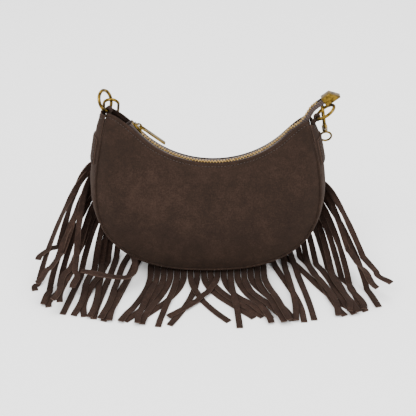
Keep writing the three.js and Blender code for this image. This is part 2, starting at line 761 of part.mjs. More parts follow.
function hookEye() {
  const centre = BOSS_LOW - GAP - 2 * EYE_WIRE - EYE_RADIUS;
  const ring = new THREE.TorusGeometry(EYE_RADIUS, EYE_WIRE, 8, 22).rotateX(Math.PI / 2);
  const stem = rod(vec(0, 0, centre + EYE_RADIUS), vec(0, 0, BOSS_TOP + 2.6), EYE_POST, 12);
  const head = rod(vec(0, 0, BOSS_TOP + 1.6), vec(0, 0, BOSS_TOP + 2.8), 2.2, 16);
  return joined(ring.translate(0, 0, centre), stem, head);
}

const LEFT_TURN = 26 * DEG;
const LEFT_LEAN = 20 * DEG;
const RIGHT_LEAN = 54 * DEG;

const corners = [
  {
    name: "left",
    tunnel: vec(-101.5, 0, 183),
    tabUp: vec(0, 0, 1),
    along: vec(Math.sin(LEFT_TURN), Math.cos(LEFT_TURN), 0),
    lean: vec(0, 0, 1).applyAxisAngle(vec(Math.sin(LEFT_TURN), Math.cos(LEFT_TURN), 0), -LEFT_LEAN),
    ringAngle: 45 * DEG,
    hookRise: 5.4,
    hookShift: 0.5,
    hookAcross: vec(1, 0, 0),
    hookDown: vec(-0.12, 0.48, -1),
    eyeTurn: 0,
  },
  {
    name: "right",
    tunnel: vec(111.3, -4.6, 176.6),
    tabUp: vec(0.55, 0, 0.84),
    along: vec(0, 1, 0),
    lean: vec(Math.sin(RIGHT_LEAN), 0, Math.cos(RIGHT_LEAN)),
    ringAngle: 72 * DEG,
    hookRise: 4.1,
    hookShift: 0,
    hookAcross: vec(0, -1, 0),
    hookDown: vec(0.16, 0.285, -1),
    eyeTurn: 90 * DEG,
  },
];

corners.forEach((corner) => {
  const { name, tunnel, tabUp, along, lean, ringAngle } = corner;
  const { hookRise, hookShift, hookAcross, hookDown, eyeTurn } = corner;
  const tabFrame = frameFrom(tunnel, vec(along.y, -along.x, 0), tabUp);
  bag.add(tabFrame);
  addPart(`${name}_ring_tab`, ringTab(), darkSuede(), tabFrame);

  const centre = tunnel.clone().addScaledVector(lean, RING_MEAN_RADIUS);
  const ringFrame = frameFrom(centre, lean, lean.clone().cross(along));
  bag.add(ringFrame);
  addPart(`${name}_ring`, new THREE.TorusGeometry(RING_MEAN_RADIUS, RING_WIRE, 8, 32), brass(), ringFrame);

  const held = centre.clone()
    .addScaledVector(lean, -RING_MEAN_RADIUS * Math.cos(ringAngle))
    .addScaledVector(along, RING_MEAN_RADIUS * Math.sin(ringAngle));
  const top = held.add(vec(hookShift, 0, hookRise));
  const hookFrame = frameFrom(top, hookAcross, hookDown.clone().negate());
  bag.add(hookFrame);
  addPart(`${name}_hook_body`, hookBody(), brass(), hookFrame);
  addPart(`${name}_hook_gate`, hookGate(), brass(), hookFrame);
  const pinEnd = (y) => vec(-HOOK_ARCH, y, GATE_PIVOT);
  const pin = rod(pinEnd(-HOOK_THICK), pinEnd(HOOK_THICK), PIN_RADIUS, 10);
  addPart(`${name}_gate_pin`, pin, brass(), hookFrame);
  addPart(`${name}_hook_eye`, hookEye(), brass(), hookFrame).rotation.z = eyeTurn;
});

// Fringe: a band along the rear seam with strips that fall to the surface and lie there, each
// over those laid before it

function blendPoint(points, t) {
  const [a, b, c, d] = points;
  const u = 1 - t;
  return vec(0, 0, 0)
    .addScaledVector(a, u ** 3)
    .addScaledVector(b, 3 * u * u * t)
    .addScaledVector(c, 3 * u * t * t)
    .addScaledVector(d, t ** 3);
}

function stripLine(index) {
  const share = 0.5 + (index * STRIP_PITCH) / seam.total;
  const out = seamOutward(share);
  const root = gussetPoint(share, (1 + BAND_INNER_EDGE) / 2, SUEDE + 3 * GAP + BAND_THICK / 2);
  const rise = root.z - STRIP_THICK / 2;
  const [endX, endY] = STRIP_ENDS[index + STRIPS_LEFT];
  const end = vec(endX, endY, 0);
  const sway = 9 * Math.sin(index * 2.4);
  // Strips from high up slope straight out to where they end; low ones drop and then run on.
  const slope = THREE.MathUtils.smoothstep(rise, 12, 90);
  const landing = vec(root.x + out.x * 0.3 * rise, root.y - 5 - 0.14 * rise, 0)
    .lerp(end, 0.7 * slope)
    .add(vec(5 * slope * Math.sin(index * 1.9), 4 * slope * Math.sin(index * 2.7), 0));
  const isUnder = Math.abs(root.x) < UNDER_BAG_HALF;
  const turn = isUnder ? vec(root.x, STRAIGHT_TO_Y, 0) : landing;
  const toEnd = end.clone().sub(turn);
  const first = isUnder ? vec(0, -1, 0) : toEnd.clone().normalize();
  const across = vec(-toEnd.y, toEnd.x, 0).normalize();
  const fall = [
    root,
    root.clone().addScaledVector(out, 2 + 0.15 * rise),
    landing.clone().addScaledVector(first, -3 - 0.2 * rise)
      .setZ(STRIP_THICK / 2 + 0.35 * Math.max(rise - 4, 0)),
    landing.clone().setZ(STRIP_THICK / 2),
  ];
  const reach = toEnd.length() / 3;
  const run = [
    turn,
    turn.clone().addScaledVector(first, reach).addScaledVector(across, isUnder ? 0 : sway),
    end.clone().addScaledVector(toEnd, -0.33).addScaledVector(across, -sway),
    end,
  ];
  if (index === CROSSING_STRIP) {
    const corner = vec(...CROSSING_TURN, 0);
    run[1] = corner;
    run[2] = corner.clone().add(vec(-6, -9, 0));
  }
  const line = spread(0, 1, 40).map((t) => blendPoint(fall, t));
  spread(0, 1, 60).forEach((t) => line.push(blendPoint(run, t).setZ(STRIP_THICK / 2)));
  const last = line.at(-1).clone().sub(line.at(-3)).normalize();
  line.push(line.at(-1).clone().addScaledVector(last, STRIP_LENGTH));
  return { share, out, line };
}

// Even steps along a line, up to the strip's length
function evenly(line, step) {
  const points = [line[0].clone()];
  let carried = 0;
  for (let i = 1; i < line.length && points.length * step <= STRIP_LENGTH; i += 1) {
    const length = line[i].distanceTo(line[i - 1]);
    while (carried + length >= step * points.length && points.length * step <= STRIP_LENGTH) {
      points.push(line[i - 1].clone().lerp(line[i], (step * points.length - carried) / length));
    }
    carried += length;
  }
  return points;
}

const layer = new Map();
const cellAt = (p) => `${Math.floor(p.x / LAY_CELL)} ${Math.floor(p.y / LAY_CELL)}`;

// The strip's points across its width and out to its edges
function footprint(points, i) {
  const ahead = points[Math.min(i + 1, points.length - 1)];
  const behind = points[Math.max(i - 1, 0)];
  const across = vec(behind.y - ahead.y, ahead.x - behind.x, 0).normalize();
  return spread(-LAY_HALF_WIDTH, LAY_HALF_WIDTH, 5).map((d) => points[i].clone().addScaledVector(across, d));
}

// Raises the strip over what lies under it, with no step steeper than the cloth can follow.
function layOver(points) {
  const step = points[1].distanceTo(points[0]);
  const rest = points.map((p, i) => {
    const under = Math.max(0, ...footprint(points, i).map((q) => layer.get(cellAt(q)) ?? 0));
    return under > 0 && p.z < under + 6 ? under + LAY_GAP + STRIP_THICK / 2 : 0;
  });
  points.forEach((p, i) => {
    const lifted = rest.map((h, j) => h - LAY_SLOPE * step * Math.max(0, Math.abs(i - j) - 1));
    p.z = Math.max(p.z, ...lifted);
  });
  points.forEach((p, i) => {
    footprint(points, i).forEach((q) => {
      if (p.z < 30) layer.set(cellAt(q), Math.max(layer.get(cellAt(q)) ?? 0, p.z + STRIP_THICK / 2));
    });
  });
  return points;
}

function strip(index) {
  const { share, out, line } = stripLine(index);
  const points = layOver(evenly(line, LAY_CELL));
  const seamward = vec(-out.z, 0, out.x);
  const steps = STRIP_STATIONS - 1;
  const rings = spread(0, steps, steps).map((k) => {
    const i = Math.round(((points.length - 1) * k) / steps);
    const ahead = points[Math.min(i + 1, points.length - 1)];
    const along = ahead.clone().sub(points[Math.max(i - 1, 0)]).normalize();
    const level = vec(0, 0, 1).cross(along);
    const turned = THREE.MathUtils.smoothstep(i * LAY_CELL, 0, 8 + 0.5 * points[0].z);
    const across = seamward.clone().multiplyScalar(1 - turned).addScaledVector(level.normalize(), turned);
    across.addScaledVector(along, -across.dot(along)).normalize().multiplyScalar(STRIP_WIDTH / 2);
    const up = along.clone().cross(across).normalize().multiplyScalar(STRIP_THICK / 2);
    const p = points[i];
    return [
      p.clone().sub(across).sub(up),
      p.clone().add(across).sub(up),
      p.clone().add(across).add(up),
      p.clone().sub(across).add(up),
    ];
  });
  return loft(rings);
}

function fringe() {
  const reach = (strips) => (strips * STRIP_PITCH + STRIP_WIDTH / 2) / seam.total;
  const shares = spread(0.5 - reach(STRIPS_LEFT), 0.5 + reach(STRIPS_RIGHT), 54);
  const lift = SUEDE + 3 * GAP + BAND_THICK;
  const band = gussetSheet(shares, spread(BAND_INNER_EDGE, 1, 2), lift, BAND_THICK);
  const order = spread(-STRIPS_LEFT, STRIPS_RIGHT, STRIPS_LEFT + STRIPS_RIGHT)
    .sort((a, b) => (Math.abs(a) - Math.abs(b)) || a - b)
    .filter((i) => i !== CROSSING_STRIP);
  const all = toManifold(joined(band, ...[...order, CROSSING_STRIP].map(strip)));
  // Falling strips that touch can shut a sliver of air between them, which is filled.
  const shells = all.decompose().sort((a, b) => b.volume() - a.volume());
  return fromManifold(shells[0]);
}

addPart("fringe", fringe(), suede());

export default bag;
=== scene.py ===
"""A fringed suede shoulder bag with a scooped zip top, dressed over its CAD frame.

Lengths in this file are in millimetres until a mesh is made, which is in metres.
+X is the viewer's right, +Y the back of the bag and +Z up.
"""

import math

import bmesh
import bpy
from mathutils import Matrix, Vector, noise


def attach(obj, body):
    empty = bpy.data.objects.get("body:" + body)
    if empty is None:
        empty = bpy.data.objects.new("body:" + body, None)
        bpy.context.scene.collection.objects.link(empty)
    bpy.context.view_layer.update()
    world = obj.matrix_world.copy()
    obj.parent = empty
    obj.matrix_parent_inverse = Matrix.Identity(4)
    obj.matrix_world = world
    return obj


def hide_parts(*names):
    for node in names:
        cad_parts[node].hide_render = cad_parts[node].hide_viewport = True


bl_info = {
    "name": "Fringed suede bag",
    "version": (1, 0, 0),
    "blender": (4, 5, 0),
    "location": "View3D > Sidebar > Bag",
    "description": "Builds the suede, zip, brass and fringe of a crescent shoulder bag",
    "category": "Add Mesh",
}

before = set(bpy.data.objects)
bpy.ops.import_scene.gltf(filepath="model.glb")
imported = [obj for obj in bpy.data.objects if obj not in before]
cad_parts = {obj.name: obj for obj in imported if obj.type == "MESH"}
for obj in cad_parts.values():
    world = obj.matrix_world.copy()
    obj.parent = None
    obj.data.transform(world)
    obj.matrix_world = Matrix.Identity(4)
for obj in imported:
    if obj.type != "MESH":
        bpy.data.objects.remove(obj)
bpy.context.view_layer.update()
MM = 0.001

# Sizes shared with the frame
SUEDE = 1.5
GAP = 0.35
SEAM_HALF_WIDTH = 116.5
SEAM_MID_Z = 98.0
SEAM_BOTTOM_Z = 8.0
SEAM_POWER = 2.45
CORNER_INSET = 13.5
CORNER_CURVE = 1.6
CORNER_Z_LEFT = 180.5
CORNER_Z_RIGHT = 171.5
DEPTH_TOP = 10.0
DEPTH_BOTTOM = 28.0
DEPTH_POWER = 1.8
FRONT_BELLY = 9.0
BACK_BELLY = 5.0
GUSSET_BULGE_SIDE = 5.5
GUSSET_BULGE_BOTTOM = 4.0
GUSSET_LIFT_LEFT = -2.0
GUSSET_LIFT_RIGHT = -6.0
EDGE_HALF_GAP = 7.2
PATCH_TOP_Z = 154.0
PATCH_HEIGHT = 26.0
ZIP_RADIUS = 99.0
ZIP_CENTRE = Vector((5.5, 0.0, 221.5))
ZIP_START = math.radians(-58)
ZIP_END = math.radians(50.0)
TAIL_TURNS = ((0, 50), (8, 34), (16, 38), (22, 58), (32, 56), (40, 40), (50, 38))
TAIL_LENGTH = 50.0
TAIL_SWAY = 4.1
TOOTH_PITCH = 3.2
TOOTH_WIDTH = 1.15
BEAD_OUTER = 2.6
TAPE_HALF = 0.35
TAPE_DROP = 10.0
TAPE_REACH = 5.4
TAIL_DROP = 4.4
TAIL_REACH = 3.7
CLAMP_REACH = 4.0
EDGE_ARC_HALF = 70.0
CORNER_LIP = 2.2
FRONT_EDGE_RAISE = 3.0
BACK_EDGE_RAISE = 1.0
STRIP_WIDTH = 6.6
STRIP_THICK = 1.4
STRIP_PITCH = 7.1
STRIP_LENGTH = 154.0
STRIPS_LEFT = 25
STRIPS_RIGHT = 23
BAND_THICK = 0.8
BAND_INNER_EDGE = 0.91
UNDER_BAG_HALF = 64.0
STRAIGHT_TO_Y = -31.0
LAY_CELL = 1.2
LAY_GAP = 0.35
LAY_SLOPE = 0.16
LAY_HALF_WIDTH = 2.7
STRIP_ENDS = (
    (-179, -40), (-186, -64), (-137, -86), (-178, -78), (-172, -93), (-165, -88), (-160, -98),
    (-152, -94), (-148, -98), (-136, -101), (-128, -96), (-121, -111), (-116, -104), (-118, -59),
    (-109, -112), (-100, -118), (-104, -108), (-91, -122), (-71, -125), (-82, -112), (-67, -122),
    (-50, -121), (-75, -118), (21, -115), (-38, -120), (55, -120), (61, -112), (-44, -112), (69, -115),
    (32, -126), (64, -118), (76, -110), (85, -109), (72, -106), (80, -112), (97, -104), (142, -88),
    (90, -101), (107, -101), (140, -105), (133, -97), (150, -104), (156, -110), (146, -92),
    (166, -102), (161, -95), (180, -100), (174, -84), (192, -78),
)
CROSSING_STRIP = -12
CROSSING_TURN = (-66.0, -56.0)
FALL_BULGE = 0.15
FALL_STEPS = 40
RUN_SWAY = 9.0
RUN_STEPS = 60
LANDING_PULL = 0.7
PATCH_SPAN = (0.06, 0.94)

# Sewing
HEM_MIDDLE = 1.6
HEM_RISE = 0.55
HEM_STITCH = 4.2
HEM_DRAW = 0.45
SEAM_BEAD = 1.15
STITCH_PITCH = 3.4
STITCH_LENGTH = 2.3
THREAD_RADIUS = 0.34
PATCH_STITCH = 2.2


# Measuring and placing

def clamp(value, low, high):
    return max(low, min(high, value))


def mix(a, b, t):
    return a + (b - a) * t


def smoothstep(x, low, high):
    t = clamp((x - low) / (high - low), 0.0, 1.0)
    return t * t * (3 - 2 * t)


def spread(low, high, steps):
    return [low + (high - low) * i / steps for i in range(steps + 1)]


class Measured:
    """A flat line of points that is read by its share of the whole length."""

    def __init__(self, points):
        self.points = points
        self.lengths = [0.0]
        for a, b in zip(points, points[1:]):
            self.lengths.append(self.lengths[-1] + math.hypot(b[0] - a[0], b[1] - a[1]))
        self.total = self.lengths[-1]

    def at(self, share):
        target = clamp(share, 0.0, 1.0) * self.total
        low, high = 0, len(self.lengths) - 1
        while high - low > 1:
            middle = (low + high) // 2
            if self.lengths[middle] < target:
                low = middle
            else:
                high = middle
        part = (target - self.lengths[low]) / (self.lengths[high] - self.lengths[low])
        a, b = self.points[low], self.points[high]
        return a[0] + (b[0] - a[0]) * part, a[1] + (b[1] - a[1]) * part


def seam_outline():
    """The seam seen from the front, from the left corner down round the bottom to the right one."""

    def side(sign, top):
        found = []
        for i in range(41):
            z = top + (SEAM_MID_Z - top) * i / 40
            rise = (z - SEAM_MID_Z) / (top - SEAM_MID_Z)
            found.append((sign * (SEAM_HALF_WIDTH - CORNER_INSET * rise ** CORNER_CURVE), z))
        return found

    points = side(-1, CORNER_Z_LEFT)
    for i in range(1, 160):
        turn = math.pi * i / 160
        c, s = math.cos(turn), math.sin(turn)
        x = -SEAM_HALF_WIDTH * math.copysign(abs(c) ** (2 / SEAM_POWER), c)
        points.append((x, SEAM_MID_Z - (SEAM_MID_Z - SEAM_BOTTOM_Z) * s ** (2 / SEAM_POWER)))
    return points + side(1, CORNER_Z_RIGHT)[::-1]


SEAM = Measured(seam_outline())


def seam_depth(z):
    rise = clamp((z - SEAM_BOTTOM_Z) / (CORNER_Z_LEFT - SEAM_BOTTOM_Z), 0.0, 1.0)
    return DEPTH_TOP + (DEPTH_BOTTOM - DEPTH_TOP) * (1 - rise ** DEPTH_POWER)


def seam_point(share, side):
    x, z = SEAM.at(share)
    return Vector((x, side * seam_depth(z), z))


def seam_outward(share):
    xa, za = SEAM.at(share - 0.004)
    xb, zb = SEAM.at(share + 0.004)
    return Vector((zb - za, 0.0, xa - xb)).normalized()


def edge_height(x, lift):
    """A panel's top edge: the zip's arc, lifted in its middle, and a curve up to each corner."""
    across = x - ZIP_CENTRE.x

    def arc(d):
        return ZIP_CENTRE.z - math.sqrt(ZIP_RADIUS ** 2 - d ** 2)

    if abs(across) <= EDGE_ARC_HALF:
        return arc(across) + lift * (1 - (across / EDGE_ARC_HALF) ** 2)
    is_left = across < 0
    corner = SEAM.at(0.0 if is_left else 1.0)
    start = ZIP_CENTRE.x + (-EDGE_ARC_HALF if is_left else EDGE_ARC_HALF)
    length = abs(corner[0] - start)
    t = min(abs(x - start) / length, 1.0)
    steep = EDGE_ARC_HALF / math.sqrt(ZIP_RADIUS ** 2 - EDGE_ARC_HALF ** 2)
    h00 = 1 - 3 * t ** 2 + 2 * t ** 3
    h10 = t * (1 - t) ** 2
    h11 = t ** 2 * (t - 1)
    end_z = corner[1] + CORNER_LIP
    return arc(EDGE_ARC_HALF) * h00 + steep * length * h10 + end_z * (1 - h00) + 0.2 * length * h11


def top_edge(lift):
    start = SEAM.at(0.0)[0] + 0.8
    end = SEAM.at(1.0)[0] - 0.8
    return Measured([(x, edge_height(x, lift)) for x in spread(start, end, 120)])


def panel_point(edge, side, belly, u, v):
    """A point of a panel's plain curve, u along it and v from its top edge down to the seam."""
    tx, tz = edge.at(u)
    low = seam_point(u, side)
    x = tx + (low.x - tx) * v
    z = tz + (low.z - tz) * v
    shoulder = math.sin(math.pi / 2 * v) ** 0.9
    depth = EDGE_HALF_GAP + (abs(low.y) - EDGE_HALF_GAP) * shoulder
    crown = belly * math.sin(math.pi * min(v ** 1.25, 1.0)) * max(math.sin(math.pi * u), 0.0) ** 0.7
    return Vector((x, side * (depth + crown), z))


def panel_normal(edge, side, belly, u, v):
    step = 0.01
    cu, cv = clamp(u, step, 1 - step), clamp(v, step, 1 - step)
    du = panel_point(edge, side, belly, cu + step, cv) - panel_point(edge, side, belly, cu - step, cv)
    dv = panel_point(edge, side, belly, cu, cv + step) - panel_point(edge, side, belly, cu, cv - step)
    normal = du.cross(dv).normalized()
    return -normal if normal.y * side < 0 else normal


def gusset_point(share, w, lift=0.0):
    """A point over the gusset's plain curve, w across it from the front seam to the back one."""
    front = seam_point(share, -1)
    back = seam_point(share, 1)
    out = seam_outward(share)
    down = clamp(-out.z, 0.0, 1.0) ** 1.5
    bulge = mix(GUSSET_BULGE_SIDE, GUSSET_BULGE_BOTTOM, down)
    crown = 1 - abs(2 * w - 1) ** mix(2.2, 6.0, down)
    endward = max(0.0, 1 - min(share, 1 - share) / 0.03)
    point = front.lerp(back, w) + out * (bulge * crown + lift)
    point.z += (GUSSET_LIFT_LEFT if share < 0.5 else GUSSET_LIFT_RIGHT) * endward * crown
    return point


def zip_run():
    """Where the zip goes. Its place(s, y, h) is s along it, y across it and h over it."""
    arc_end = (ZIP_END - ZIP_START) * ZIP_RADIUS
    total = arc_end + TAIL_LENGTH
    step = 0.25

    def heading(s):
        if s <= arc_end:
            return ZIP_START + s / ZIP_RADIUS
        past = min(s - arc_end, TAIL_LENGTH - 1e-6)
        k = next(i for i, (at, _) in enumerate(TAIL_TURNS) if at > past)
        (s0, t0), (s1, t1) = TAIL_TURNS[k - 1], TAIL_TURNS[k]
        return math.radians(t0 + (t1 - t0) * (past - s0) / (s1 - s0))

    stations = [ZIP_CENTRE + ZIP_RADIUS * Vector((math.sin(ZIP_START), 0, -math.cos(ZIP_START)))]
    while len(stations) * step < total + 2 * CLAMP_REACH + step:
        turn = heading((len(stations) - 0.5) * step)
        stations.append(stations[-1] + step * Vector((math.cos(turn), 0, math.sin(turn))))

    def place(s, y, h):
        i = clamp(s / step, 0, len(stations) - 1.001)
        base = stations[int(i)].lerp(stations[int(i) + 1], i % 1)
        turn = heading(s)
        sway = TAIL_SWAY * smoothstep(s, total - TAIL_LENGTH + 24, total - TAIL_LENGTH + 40)
        return base + Vector((-math.sin(turn) * h, y + sway, math.cos(turn) * h))

    return place, total, arc_end


ZIP_PLACE, ZIP_TOTAL, ZIP_ARC = zip_run()
CHAIN_START = 4.0
CHAIN_END = ZIP_TOTAL - 2


# Mesh making

def make_object(name, bm, materials, smooth=True):
    """A finished object at the origin, from a bmesh in millimetres."""
    bmesh.ops.scale(bm, vec=(MM, MM, MM), verts=bm.verts)
    mesh = bpy.data.meshes.new(name)
    bm.to_mesh(mesh)
    bm.free()
    for material in materials:
        mesh.materials.append(material)
    if smooth:
        mesh.shade_smooth()
    obj = bpy.data.objects.new(name, mesh)
    bpy.context.scene.collection.objects.link(obj)
    return obj


def grid_sheet(bm, columns, rows, place):
    """A grid whose points go where place(u, v) says, with u and v from 0 to 1."""
    made = bmesh.ops.create_grid(bm, x_segments=columns, y_segments=rows, size=0.5)["verts"]
    for vert in made:
        vert.co = place(clamp(vert.co.x + 0.5, 0, 1), clamp(vert.co.y + 0.5, 0, 1))


def solid(obj, thickness, offset=-1.0, rim=0):
    """Gives a sheet its thickness in millimetres, with the cut edge in material slot rim."""
    wall = obj.modifiers.new("Thickness", "SOLIDIFY")
    wall.thickness = thickness * MM
    wall.offset = offset
    wall.use_even_offset = True
    wall.material_offset_rim = rim
    return obj


def face_outward(bm, faces, outward):
    """Turns a sheet's faces so that they look along outward(point)."""
    total = sum(f.normal.dot(outward(f.calc_center_median())) * f.calc_area() for f in faces)
    if total < 0:
        bmesh.ops.reverse_faces(bm, faces=faces)


def tube(bm, points, radius, sides=8):
    """A round bead along points, made by moving a circle's ring on from point to point."""
    rings = []
    for i, p in enumerate(points):
        ahead = points[min(i + 1, len(points) - 1)]
        behind = points[max(i - 1, 0)]
        along = (ahead - behind).normalized()
        side = along.cross(Vector((0, 1, 0))).normalized()
        up = side.cross(along)
        turn = Matrix((side, up, along)).transposed().to_4x4()
        placed = Matrix.Translation(p) @ turn
        ring = bmesh.ops.create_circle(bm, segments=sides, radius=radius, matrix=placed)["verts"]
        rings.append(ring)
    for a, b in zip(rings, rings[1:]):
        edges = [e for ring in (a, b) for e in {e for v in ring for e in v.link_edges}
                 if e.verts[0] in ring and e.verts[1] in ring]
        bmesh.ops.bridge_loops(bm, edges=edges)
    for ring in (rings[0], rings[-1]):
        bmesh.ops.contextual_create(bm, geom=ring)
    bmesh.ops.recalc_face_normals(bm, faces=bm.faces)


def stitch_line(bm, points, outward):
    """Thread stitches laid end to end along points, on a surface that faces outward."""
    travelled, due = 0.0, STITCH_PITCH / 2
    for i in range(1, len(points)):
        a, b = points[i - 1], points[i]
        gap = (b - a).length
        while travelled + gap >= due:
            centre = a.lerp(b, (due - travelled) / gap)
            along = (b - a).normalized()
            out = (outward - along * outward.dot(along)).normalized()
            side = out.cross(along)
            turn = Matrix((side, out, along)).transposed().to_4x4()
            size = Matrix.Diagonal((THREAD_RADIUS, THREAD_RADIUS * 0.8, STITCH_LENGTH / 2, 1))
            bmesh.ops.create_uvsphere(bm, u_segments=6, v_segments=4, radius=1.0,
                                      matrix=Matrix.Translation(centre + out * 0.05) @ turn @ size)
            due += STITCH_PITCH
        travelled += gap


# Materials

def srgb(code):
    """A hex sRGB colour as linear RGBA."""
    parts = [int(code[i:i + 2], 16) / 255 for i in (1, 3, 5)]
    linear = [c / 12.92 if c <= 0.04045 else ((c + 0.055) / 1.055) ** 2.4 for c in parts]
    return (*linear, 1.0)


def add(tree, kind, at, links=None, **settings):
    """Adds a node with its settings, and links its inputs from other nodes' sockets."""
    node = tree.nodes.new(kind)
    node.location = at
    for key, value in settings.items():
        if key.startswith("in_"):
            name = key[3:].replace("_", " ")
            node.inputs[name].default_value = value
        else:
            setattr(node, key, value)
    for name, source in (links or {}).items():
        tree.links.new(source, node.inputs[name])
    return node


def start_material(name):
    material = bpy.data.materials.new(name)
    material.use_nodes = True
    material.node_tree.nodes.clear()
    return material, material.node_tree


def finish_material(tree, shader):
    output = add(tree, "ShaderNodeOutputMaterial", (900, 0))
    tree.links.new(shader.outputs[0], output.inputs["Surface"])


def set_stops(ramp, stops):
    """Fills a colour ramp from (position, colour) pairs."""
    elements = ramp.color_ramp.elements
    while len(elements) < len(stops):
        elements.new(0.5)
    for element, (position, colour) in zip(elements, stops):
        element.position = position
        element.color = colour


def per_metre(mm):
    """The scale of a pattern on Object coordinates that repeats every so many millimetres."""
    return 1000 / mm


def napped_suede(name, dark, middle, light, mottle_mm=34.0, nap_mm=1.5, sheen=0.09):
    """Split cowhide with its flesh side brushed up: soft cloudy patches where the nap lies one
    way or the other, fine speckle, no gloss and a pale bloom at grazing angles."""
    # Real nap is finer than half a millimetre, and is drawn coarser so that it shows.
    material, tree = start_material(name)
    place = add(tree, "ShaderNodeTexCoord", (-1300, 0)).outputs["Object"]
    cloud = add(tree, "ShaderNodeTexNoise", (-1050, 260), {"Vector": place},
                in_Scale=per_metre(mottle_mm), in_Detail=4.0, in_Roughness=0.62, in_Distortion=0.5)
    brush = add(tree, "ShaderNodeTexNoise", (-1050, 0), {"Vector": place},
                in_Scale=per_metre(mottle_mm * 0.22), in_Detail=5.0, in_Roughness=0.7, in_Distortion=0.2)
    nap = add(tree, "ShaderNodeTexNoise", (-1050, -260), {"Vector": place},
              in_Scale=per_metre(nap_mm), in_Detail=3.0, in_Roughness=0.75)
    both = add(tree, "ShaderNodeMix", (-800, 160), {"A": cloud.outputs["Fac"], "B": brush.outputs["Fac"]},
               data_type="FLOAT", in_Factor=0.42)
    fleck = add(tree, "ShaderNodeMix", (-600, 60), {"A": both.outputs[0], "B": nap.outputs["Fac"]},
                data_type="FLOAT", in_Factor=0.45)
    colour = add(tree, "ShaderNodeValToRGB", (-380, 120), {"Fac": fleck.outputs[0]})
    set_stops(colour, ((0.27, dark), (0.5, middle), (0.73, light)))
    bump = add(tree, "ShaderNodeBump", (100, -260), {"Height": fleck.outputs[0]},
               in_Strength=0.55, in_Distance=0.4 * MM)
    shader = add(tree, "ShaderNodeBsdfPrincipled", (500, 0),
                 {"Base Color": colour.outputs["Color"], "Normal": bump.outputs["Normal"]},
                 in_Roughness=0.95, in_IOR=1.45, in_Specular_IOR_Level=0.15,
                 in_Sheen_Weight=sheen, in_Sheen_Roughness=0.55, in_Sheen_Tint=srgb("#a08878"))
    finish_material(tree, shader)
    return material


def cast_brass(name, base, dark, roughness, tarnish_mm):
    """Plated zinc casting in antique brass: bright warm highlights, darker tarnish in patches and
    a faint orange-peel from the polish."""
    material, tree = start_material(name)
    place = add(tree, "ShaderNodeTexCoord", (-900, 0)).outputs["Object"]
    patch = add(tree, "ShaderNodeTexNoise", (-650, 150), {"Vector": place},
                in_Scale=per_metre(tarnish_mm), in_Detail=5.0, in_Roughness=0.6)
    colour = add(tree, "ShaderNodeValToRGB", (-380, 150), {"Fac": patch.outputs["Fac"]})
    set_stops(colour, ((0.34, dark), (0.62, base)))
    rough = add(tree, "ShaderNodeMapRange", (-380, -120), {"Value": patch.outputs["Fac"]},
                in_To_Min=roughness + 0.14, in_To_Max=roughness - 0.06)
    peel = add(tree, "ShaderNodeTexNoise", (-650, -260), {"Vector": place},
               in_Scale=per_metre(1.6), in_Detail=2.0)
    bump = add(tree, "ShaderNodeBump", (-100, -300), {"Height": peel.outputs["Fac"]},
               in_Strength=0.25, in_Distance=0.06 * MM)
    shader = add(tree, "ShaderNodeBsdfPrincipled", (500, 0),
                 {"Base Color": colour.outputs["Color"], "Roughness": rough.outputs[0],
                  "Normal": bump.outputs["Normal"]}, in_Metallic=1.0)
    finish_material(tree, shader)
    return material


def woven_tape(name, dark, light):
    """Polyester zip tape: a fine herringbone of matt yarn, drawn at 0.9 mm so that it shows."""
    material, tree = start_material(name)
    place = add(tree, "ShaderNodeTexCoord", (-1100, 0)).outputs["Object"]
    warp = add(tree, "ShaderNodeTexWave", (-800, 160), {"Vector": place}, wave_type="BANDS",
               bands_direction="DIAGONAL", in_Scale=per_metre(0.9) / math.tau, in_Distortion=0.8)
    weft = add(tree, "ShaderNodeTexNoise", (-800, -120), {"Vector": place},
               in_Scale=per_metre(0.7), in_Detail=3.0)
    both = add(tree, "ShaderNodeMix", (-520, 60), {"A": warp.outputs["Fac"], "B": weft.outputs["Fac"]},
               data_type="FLOAT", in_Factor=0.45)
    colour = add(tree, "ShaderNodeValToRGB", (-280, 100), {"Fac": both.outputs[0]})
    set_stops(colour, ((0.25, dark), (0.75, light)))
    bump = add(tree, "ShaderNodeBump", (100, -240), {"Height": both.outputs[0]},
               in_Strength=0.5, in_Distance=0.12 * MM)
    shader = add(tree, "ShaderNodeBsdfPrincipled", (500, 0),
                 {"Base Color": colour.outputs["Color"], "Normal": bump.outputs["Normal"]},
                 in_Roughness=0.88, in_Sheen_Weight=0.2)
    finish_material(tree, shader)
    return material


def bonded_thread(name, dark, light):
    """Bonded nylon thread: two plies wound round each other, slightly waxy."""
    material, tree = start_material(name)
    place = add(tree, "ShaderNodeTexCoord", (-900, 0)).outputs["Object"]
    ply = add(tree, "ShaderNodeTexWave", (-650, 80), {"Vector": place}, wave_type="BANDS",
              bands_direction="DIAGONAL", in_Scale=per_metre(0.6) / math.tau, in_Distortion=1.0)
    colour = add(tree, "ShaderNodeValToRGB", (-380, 100), {"Fac": ply.outputs["Fac"]})
    set_stops(colour, ((0.2, dark), (0.8, light)))
    bump = add(tree, "ShaderNodeBump", (100, -240), {"Height": ply.outputs["Fac"]},
               in_Strength=0.5, in_Distance=0.1 * MM)
    shader = add(tree, "ShaderNodeBsdfPrincipled", (500, 0),
                 {"Base Color": colour.outputs["Color"], "Normal": bump.outputs["Normal"]},
                 in_Roughness=0.6)
    finish_material(tree, shader)
    return material


